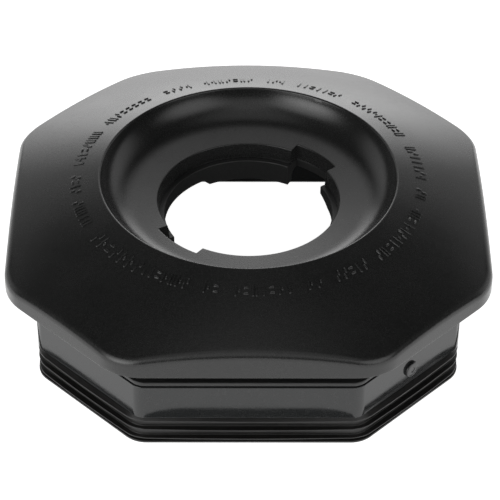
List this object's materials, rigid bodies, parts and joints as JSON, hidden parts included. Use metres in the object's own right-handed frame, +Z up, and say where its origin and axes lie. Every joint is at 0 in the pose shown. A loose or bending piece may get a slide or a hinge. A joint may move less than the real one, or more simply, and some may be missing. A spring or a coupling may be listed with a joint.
{
  "type": "blender jar lid",
  "caption": "Octagonal domed blender jar lid with a dished bowl, a bayonet opening for a filler cap, a glossy skirt and a finned rubber seal.",
  "frame": {"origin": "middle of the lid's base, on the plane where the jar seal stands", "axes": "+Z up along the filler cap's opening, +X and +Y square to the lid's flat sides; -Y is the front, with the vent plug on the front right corner face"},
  "size_m": [0.17, 0.17, 0.0605],
  "materials": {
    "satin_black_plastic": "satin",
    "gloss_black_plastic": "gloss",
    "black_rubber": "matte",
    "stainless_steel": "satin"
  },
  "bodies": {
    "seal": {"jar_seal": "black_rubber"},
    "lid": {"top_cover": "satin_black_plastic", "neck_ring": "satin_black_plastic", "cover_gasket": "black_rubber", "skirt_body": "gloss_black_plastic", "bayonet_collar": "satin_black_plastic", "throat_o_ring": "black_rubber", "vent_plug": "gloss_black_plastic", "cover_screws": "stainless_steel", "collar_screws": "stainless_steel"}
  },
  "joints": [
    {"name": "seal_pull_off", "type": "slide", "parent": "seal", "child": "lid", "axis": [0, 0, 1], "range_m": [0, 0.016]}
  ]
}
